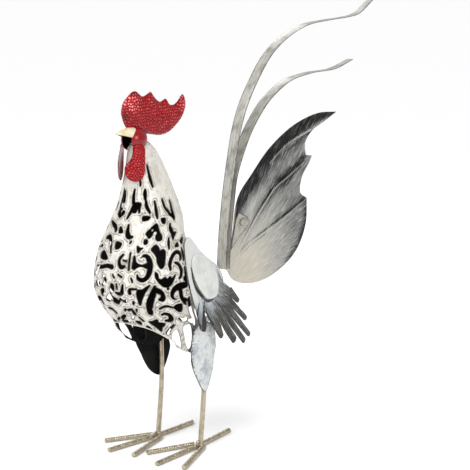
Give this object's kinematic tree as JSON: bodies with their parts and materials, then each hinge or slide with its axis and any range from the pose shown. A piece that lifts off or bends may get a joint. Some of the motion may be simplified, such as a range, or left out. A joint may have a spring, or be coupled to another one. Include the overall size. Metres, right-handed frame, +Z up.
{
  "type": "scrap metal rooster sculpture",
  "caption": "Standing sheet-metal rooster sculpture with a pierced scrollwork body, red pressed comb and wattles, plate wings, sickle ribbon tail and rod legs.",
  "frame": {"origin": "on the floor under the middle of the sculpture's outer box", "axes": "+Z up, the rooster faces -Y, its left side is +X"},
  "size_m": [0.1386, 0.5244, 0.5024],
  "materials": {
    "cream_paint": "distressed cream paint over dark metal",
    "red_paint": "glossy red paint over a hammered face",
    "beak_paint": "satin cream paint",
    "leg_paint": "pale bronze paint, worn",
    "wing_paint": "cream brushed into blue-grey over dark metal",
    "tail_steel": "brushed steel, darkened along its edges"
  },
  "bodies": {
    "root": {"body_shell": "cream_paint", "hood": "red_paint", "beak": "beak_paint", "comb": "red_paint", "wattle_left": "red_paint", "wattle_right": "red_paint", "wing_left": "wing_paint", "wing_right": "wing_paint", "covert_left": "cream_paint", "covert_right": "cream_paint", "thigh_left": "cream_paint", "thigh_right": "cream_paint", "leg_left": "leg_paint", "leg_right": "leg_paint", "long_toe_left": "leg_paint", "inner_toe_left": "leg_paint", "outer_toe_left": "leg_paint", "long_toe_right": "leg_paint", "inner_toe_right": "leg_paint", "outer_toe_right": "leg_paint", "long_ribbon": "tail_steel", "short_ribbon": "tail_steel", "tail_sheet": "tail_steel", "tail_stay": "tail_steel", "tail_boss": "tail_steel"}
  },
  "joints": []
}
